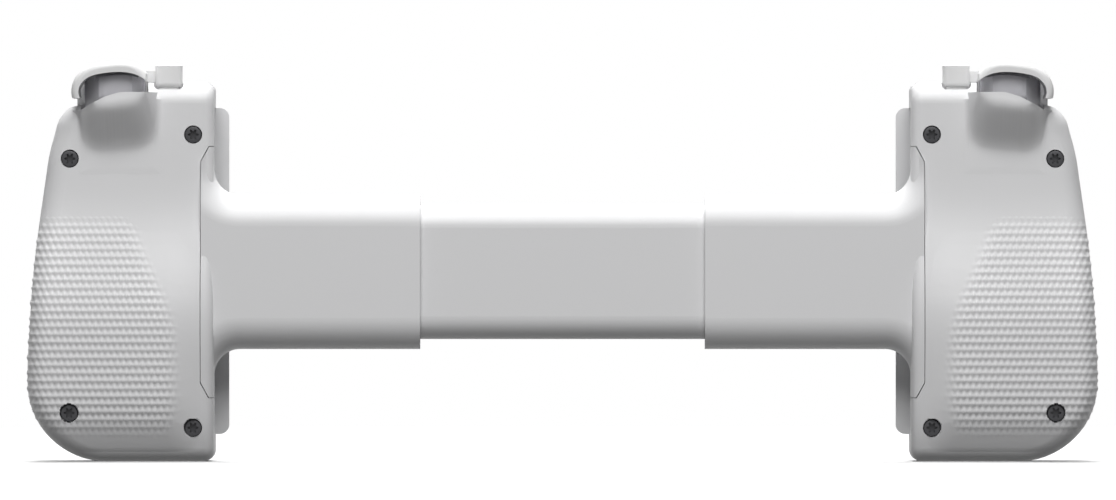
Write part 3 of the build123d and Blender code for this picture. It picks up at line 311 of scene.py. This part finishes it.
def soft_skin(name, node, sign, span, foot, top_of, plain, lift, reach, edge, most):
    """A skin over the back of a piece that softens its edges, and stands a little proud.

    It covers a span across and rises from a foot to what top_of finds. Where the piece is
    deeper than plain, the skin is lifted, then blended over a reach of cells, held down
    along its edge, and nowhere stands more than the most over the piece.
    """
    tree = BVHTree.FromObject(nodes[node], bpy.context.evaluated_depsgraph_get())
    bpy.ops.object.select_all(action="DESELECT")
    bpy.ops.mesh.primitive_grid_add(x_subdivisions=SKIN_STEPS, y_subdivisions=SKIN_STEPS, size=1)
    cover = bpy.context.object
    cover.name = name
    last = round(len(cover.data.vertices) ** 0.5) - 1
    across = [span[0] + (span[1] - span[0]) * i / last for i in range(last + 1)]
    tops = [top_of(tree, sign, x) - SKIN_SHORT_MM for x in across]
    heights = [[foot + (top - foot) * k / last for k in range(last + 1)] for top in tops]
    depths = [[back_depth(tree, sign, x, z) for z in column] for x, column in zip(across, heights)]
    raised = []
    for row, column in zip(depths, heights):
        lips = [
            SKIN_LIP_SHARE + (1 - SKIN_LIP_SHARE) * smooth_step(column[-1] - z, 0.0, SKIN_LIP_MM)
            for z in column
        ]
        raised.append([
            depth + lift * lip * smooth_step(depth, plain + SKIN_RISE_MM[0], plain + SKIN_RISE_MM[1])
            for depth, lip in zip(row, lips)
        ])
    # Each turn blends along the rows and swaps rows and columns, so both ways take part.
    for _ in range(SKIN_BLENDS):
        raised = [list(line) for line in zip(*blend(raised, reach))]
    form = bmesh.new()
    form.from_mesh(cover.data)
    gone = []
    for vertex in form.verts:
        i, k = round((vertex.co.x + 0.5) * last), round((vertex.co.y + 0.5) * last)
        held = smooth_step(min(i, last - i, k), 0, edge)
        soft, hard = raised[i][k], depths[i][k]
        # The higher of the two surfaces, rounded a little where they meet.
        proud = (soft - hard + math.hypot(soft - hard, SKIN_MEET_MM)) / 2
        proud = most * math.tanh(proud / most)
        depth = hard - SKIN_SUNK_MM + held * (proud + SKIN_SUNK_MM)
        vertex.co = (sign * across[i] / 1000, -depth / 1000, heights[i][k] / 1000)
        if hard < SKIN_SHALLOW_MM:
            gone.append(vertex)
    close_skin(cover, form, gone)
    return cover


for side, sign in SIDES.items():
    hood = soft_skin(
        side + "_hood_skin", side + "_rear_shell", sign, HOOD_X, HOOD_FOOT_Z, hood_top,
        plain=FLAT_MM, lift=HOOD_LIFT_MM, reach=HOOD_BLEND_CELLS, edge=HOOD_EDGE_CELLS,
        most=HOOD_MOST_MM,
    )
    hood.data.materials.append(shell_plastic)
    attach(hood, side + "_grip")


# Arms and centre piece
# Two sleeves run out of the grips and slide over the centre piece. All are moulded in
# the same white ABS, and each is a cover fixed to a flat base plate.
for side in SIDES:
    paint([side + "_arm_cover", side + "_arm_base"], shell_plastic)
paint(["centre_cover", "centre_base"], shell_plastic)


# Triggers, bumpers and top buttons
# The keys at the top are moulded in white ABS with a satin face. Under each trigger's
# lipped cap a cooler, greyer core sinks into a well behind the hood.
KEY_WHITE = "#E0E0E0"
CORE_GREY = "#D2D1D8"
CORE_X = (96.5, 110.2)
CORE_FOOT_Z = 80.5
CORE_HIGHEST_Z = 91
CORE_LEAST_MM = 0.5
GROOVE_STEP_MM = 0.12
CORE_PLAIN_MM = 6.0
CORE_LIFT_MM = 0.55
CORE_BLEND_CELLS = 8
CORE_EDGE_CELLS = 3
CORE_MOST_MM = 0.4

# ABS polished to satin: a clean highlight along each key's rim. The core's acetal lets a
# little light through, so its shadows stay soft and cool.
key_plastic = new_material("Satin white ABS", KEY_WHITE, 0.38, IOR=1.5)
core_plastic = new_material(
    "Grey acetal", CORE_GREY, 0.5, IOR=1.48,
    Subsurface_Weight=0.7, Subsurface_Radius=(1.0, 1.0, 1.0), Subsurface_Scale=0.003,
)
for side in SIDES:
    paint([side + "_trigger_cap", side + "_bumper", side + "_top_button"], key_plastic)
    paint([side + "_trigger_core"], core_plastic)


def core_top(tree, sign, x):
    """Height of the groove under the cap's lip above a place on the core."""
    z, depth = CORE_FOOT_Z, back_depth(tree, sign, x, CORE_FOOT_Z)
    while z < CORE_HIGHEST_Z:
        above = back_depth(tree, sign, x, z + SEARCH_MM)
        if abs(above - depth) > GROOVE_STEP_MM:
            break
        z, depth = z + SEARCH_MM, above
    return max(z, CORE_FOOT_Z + CORE_LEAST_MM)


for side, sign in SIDES.items():
    face = soft_skin(
        side + "_core_face", side + "_trigger_core", sign, CORE_X, CORE_FOOT_Z, core_top,
        plain=CORE_PLAIN_MM, lift=CORE_LIFT_MM, reach=CORE_BLEND_CELLS, edge=CORE_EDGE_CELLS,
        most=CORE_MOST_MM,
    )
    face.data.materials.append(core_plastic)
    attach(face, side + "_trigger")


# Rear screws
# Four screws of black oxide steel close each grip. Each has a flat head with a bevelled
# rim and a six-lobed recess, and is sunk a little into the rear shell.
SCREW_BLACK = "#3A3A3D"
SCREW_HEAD_R_MM = 1.95
SCREW_HEAD_MM = 1.6
SCREW_BEVEL_MM = 0.22
SCREW_SHANK_R_MM = 0.9
SCREW_LENGTH_MM = 12.1
RECESS_R_MM = 1.0
RECESS_LOBE_MM = 0.3
RECESS_MM = 1.2
SCREW_SIDES = 48
RECESS_SIDES = 60
LOBES = 6
SCREW_CREASE_DEGREES = 35
SCREW_REACH_MM = 2.5
TOUCHING_M = 0.00001
FACING = 0.9
SCREW_PLACES_MM = [(85.0, 75.3), (113.4, 69.75), (85.0, 7.85), (113.4, 11.3)]

# Oxide on turned steel: nearly black, with a dull sheen on the flat of the head.
oxide = new_material("Black oxide steel", SCREW_BLACK, 0.42, Metallic=0.25)


def plain_screw():
    """One screw with its head's top at the origin, pointing into the grip along +Y."""
    bpy.ops.object.select_all(action="DESELECT")
    bpy.ops.mesh.primitive_cylinder_add(
        vertices=SCREW_SIDES, radius=SCREW_HEAD_R_MM / 1000, depth=SCREW_HEAD_MM / 1000,
        location=(0, SCREW_HEAD_MM / 2 / 1000, 0), rotation=(math.pi / 2, 0, 0),
    )
    screw = bpy.context.object
    bpy.ops.object.transform_apply(location=True, rotation=True, scale=True)
    bpy.ops.object.mode_set(mode="EDIT")
    form = bmesh.from_edit_mesh(screw.data)
    bpy.ops.mesh.select_all(action="DESELECT")
    for face in form.faces:
        face.select = face.normal.y > FACING
    bmesh.update_edit_mesh(screw.data)
    bpy.ops.mesh.inset(thickness=(SCREW_HEAD_R_MM - SCREW_SHANK_R_MM) / 1000)
    bpy.ops.mesh.extrude_region_move(
        TRANSFORM_OT_translate={"value": (0, (SCREW_LENGTH_MM - SCREW_HEAD_MM) / 1000, 0)}
    )
    form = bmesh.from_edit_mesh(screw.data)
    bpy.ops.mesh.select_all(action="DESELECT")
    for edge in form.edges:
        edge.select = all(vertex.co.y < TOUCHING_M for vertex in edge.verts)
    bmesh.update_edit_mesh(screw.data)
    bpy.ops.mesh.bevel(offset=SCREW_BEVEL_MM / 1000, segments=2)
    bpy.ops.object.mode_set(mode="OBJECT")
    bpy.ops.object.select_all(action="DESELECT")
    bpy.ops.mesh.primitive_cylinder_add(
        vertices=RECESS_SIDES, radius=RECESS_R_MM / 1000, depth=2 * RECESS_MM / 1000,
        rotation=(math.pi / 2, 0, 0),
    )
    cutter = bpy.context.object
    bpy.ops.object.transform_apply(location=True, rotation=True, scale=True)
    for vertex in cutter.data.vertices:
        turn = math.atan2(vertex.co.z, vertex.co.x)
        share = 1 + RECESS_LOBE_MM / RECESS_R_MM * math.cos(LOBES * turn)
        vertex.co.x, vertex.co.z = vertex.co.x * share, vertex.co.z * share
    cut = screw.modifiers.new("recess", "BOOLEAN")
    cut.operation, cut.solver, cut.object = "DIFFERENCE", "EXACT", cutter
    bpy.context.view_layer.objects.active = screw
    bpy.ops.object.modifier_apply(modifier=cut.name)
    bpy.data.objects.remove(cutter)
    bpy.ops.object.select_all(action="DESELECT")
    screw.select_set(True)
    bpy.ops.object.shade_smooth_by_angle(angle=math.radians(SCREW_CREASE_DEGREES))
    screw.data.materials.append(oxide)
    return screw


first_screw = plain_screw()
for side, sign in SIDES.items():
    group = []
    head_points = [vertex.co for vertex in nodes[side + "_rear_screws"].data.vertices]
    for x, z in SCREW_PLACES_MM:
        near = [
            point.y for point in head_points
            if math.hypot(point.x - sign * x / 1000, point.z - z / 1000) < SCREW_REACH_MM / 1000
        ]
        screw = first_screw.copy()
        screw.data = first_screw.data.copy()
        bpy.context.collection.objects.link(screw)
        for vertex in screw.data.vertices:
            vertex.co += Vector((sign * x / 1000, min(near) - swell(x, z, 0.0) / 1000, z / 1000))
        group.append(screw)
    bpy.ops.object.select_all(action="DESELECT")
    for screw in group:
        screw.select_set(True)
    bpy.context.view_layer.objects.active = group[0]
    bpy.ops.object.join()
    group[0].name = side + "_rear_screw_set"
    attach(group[0], side + "_grip")
    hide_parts(side + "_rear_screws")
bpy.data.objects.remove(first_screw)


# Running gear
# Racks, pinion, stick frames and pivot plate are moulded in black acetal, which slides
# without oil. Springs are wound of drawn steel, and pins, axle, plug and port are turned
# or pressed from it.

# Acetal has a low, waxy sheen. Drawn steel is bright, with soft grey reflections.
acetal = new_material("Black acetal", "#232426", 0.4, IOR=1.48)
steel = new_material("Drawn steel", "#B9BBBD", 0.3, Metallic=1.0)
moulded = ("rack", "stick_housing", "stick_yoke", "stick_rocker")
for side in SIDES:
    paint([side + "_" + name for name in moulded], acetal)
    paint([side + "_" + name for name in ("pull_spring", "trigger_spring", "trigger_pin")], steel)
paint(["pinion", "dpad_pivot"], acetal)
paint(["pinion_axle", "usb_plug", "charge_port"], steel)


# Electrics
# A green circuit board in each grip, joined by an amber polyimide ribbon that folds
# inside the centre piece, and a clear lens over the status light.

# Solder mask is a dark, glossy green, and the film a smooth amber. The lens looks milky
# with no light behind it, and is the glossiest surface of all.
solder_mask = new_material("Green solder mask", "#1F4A2C", 0.35, IOR=1.5)
film = new_material("Polyimide film", "#8A4A1E", 0.25, IOR=1.6)
lens = new_material("Clear polycarbonate", "#E8E8E8", 0.15, IOR=1.58)
for side in SIDES:
    paint([side + "_board"], solder_mask)
paint(["flex_cable"], film)
paint(["status_lens"], lens)


# Rubber
# The mats under the buttons and the ribbed pads at the ends of the channel are pressed
# from grey silicone. A mat springs back under its keys, and a pad keeps its hold.

# Silicone is matt, and shows no highlight along its ribs.
silicone = new_material("Grey silicone", "#585A5E", 0.7, IOR=1.41)
for side in SIDES:
    paint([side + "_button_mat", side + "_phone_pad"], silicone)


# Sticks, D-pad and buttons
# The controls on the face are moulded in the same satin white plastic as the keys, and
# stand in holes of the front shells.
for side in SIDES:
    paint(
        [side + "_" + name for name in ("stick_cap", "upper_small_button", "lower_small_button")],
        key_plastic,
    )
paint(["dpad"] + ["button_" + name for name in ("north", "east", "south", "west")], key_plastic)


# Studio
# A white table, a wide soft box overhead and a soft fill from the camera's side, with a
# weaker one behind the object, as in a product photograph.
CAMERA_AWAY_M = 2.5
SENSOR_MM = 36
FIELD_MM = 257.74
AIM_MM = (-1.04, 48.73)
CLIP_END_M = 20
LIT_AT = (0, 0, 0.04)
# Each lamp's place and size in metres, and its watts.
LAMPS = {
    "overhead": ((0, 0.25, 1.2), 0.6, 15),
    "front_fill": ((0, -1.1, 1.15), 0.9, 21.7),
    "back_fill": ((0, 1.3, 0.9), 0.9, 7),
}


def soft_box(name, place, size, watts):
    """A square soft light that faces the object."""
    bpy.ops.object.light_add(type="AREA", location=place)
    lamp = bpy.context.object
    lamp.name = name
    lamp.data.shape = "SQUARE"
    lamp.data.size = size
    lamp.data.energy = watts
    lamp.rotation_mode = "QUATERNION"
    lamp.rotation_quaternion = (Vector(LIT_AT) - Vector(place)).to_track_quat("-Z", "Y")


# White card under the object. The camera sees it white, with the object's shadow kept close
# to it, and it throws little light back up, as a stand on a wide table would.
TABLE_BOUNCE = "#5A5A5A"
TABLE_M = 6
SHADOW_M = (0.28, 0.5)
card = new_material("White paper card", "#EDEDED", 0.8)
card_shader = card.node_tree.nodes["Principled BSDF"]
seen = add_node(card, "ShaderNodeLightPath")
mirrored = add_node(
    card, "ShaderNodeMath",
    {0: seen.outputs["Is Glossy Ray"], 1: seen.outputs["Is Transmission Ray"]}, operation="MAXIMUM",
)
bounced = add_node(card, "ShaderNodeBsdfDiffuse", {"Color": linear(TABLE_BOUNCE)})
card_place = add_node(card, "ShaderNodeTexCoord")
away = add_node(card, "ShaderNodeVectorMath", {0: card_place.outputs["Object"]}, operation="LENGTH")
far = add_node(
    card, "ShaderNodeMapRange",
    {"Value": away.outputs["Value"], "From Min": SHADOW_M[0], "From Max": SHADOW_M[1]},
)
plain_white = add_node(card, "ShaderNodeEmission", {"Color": (1, 1, 1, 1), "Strength": 1.0})
to_camera = add_node(
    card, "ShaderNodeMixShader",
    {0: far.outputs["Result"], 1: card_shader.outputs[0], 2: plain_white.outputs[0]},
)
not_camera = add_node(
    card, "ShaderNodeMixShader",
    {0: mirrored.outputs[0], 1: bounced.outputs[0], 2: plain_white.outputs[0]},
)
whole_card = add_node(
    card, "ShaderNodeMixShader",
    {0: seen.outputs["Is Camera Ray"], 1: not_camera.outputs[0], 2: to_camera.outputs[0]},
)
card_surface = card.node_tree.nodes["Material Output"].inputs["Surface"]
card.node_tree.links.new(whole_card.outputs[0], card_surface)
bpy.ops.mesh.primitive_plane_add(size=TABLE_M, location=(0, 0, 0))
table = bpy.context.object
table.name = "table"
table.data.materials.append(card)

# The room gives the object little light, and looks white to the camera, metal and glass.
ROOM_LIGHT = 0.1
world = bpy.data.worlds.new("Soft room")
bpy.context.scene.world = world
world.use_nodes = True
background = world.node_tree.nodes["Background"]
background.inputs["Color"].default_value = (1, 1, 1, 1)
room_path = add_node(world, "ShaderNodeLightPath")
in_gloss = add_node(
    world, "ShaderNodeMath",
    {0: room_path.outputs["Is Camera Ray"], 1: room_path.outputs["Is Glossy Ray"]}, operation="MAXIMUM",
)
in_glass = add_node(
    world, "ShaderNodeMath",
    {0: in_gloss.outputs[0], 1: room_path.outputs["Is Transmission Ray"]}, operation="MAXIMUM",
)
room_strength = add_node(
    world, "ShaderNodeMapRange", {"Value": in_glass.outputs[0], "To Min": ROOM_LIGHT, "To Max": 1.0}
)
world.node_tree.links.new(room_strength.outputs["Result"], background.inputs["Strength"])

for name, (place, size, watts) in LAMPS.items():
    soft_box(name, place, size, watts)

bpy.ops.object.camera_add(
    location=(AIM_MM[0] / 1000, -CAMERA_AWAY_M, AIM_MM[1] / 1000), rotation=(math.pi / 2, 0, 0)
)
camera = bpy.context.object
camera.data.sensor_width = SENSOR_MM
camera.data.lens = SENSOR_MM * CAMERA_AWAY_M / (FIELD_MM / 1000)
camera.data.clip_end = CLIP_END_M
bpy.context.scene.camera = camera
bpy.context.scene.view_settings.view_transform = "Standard"
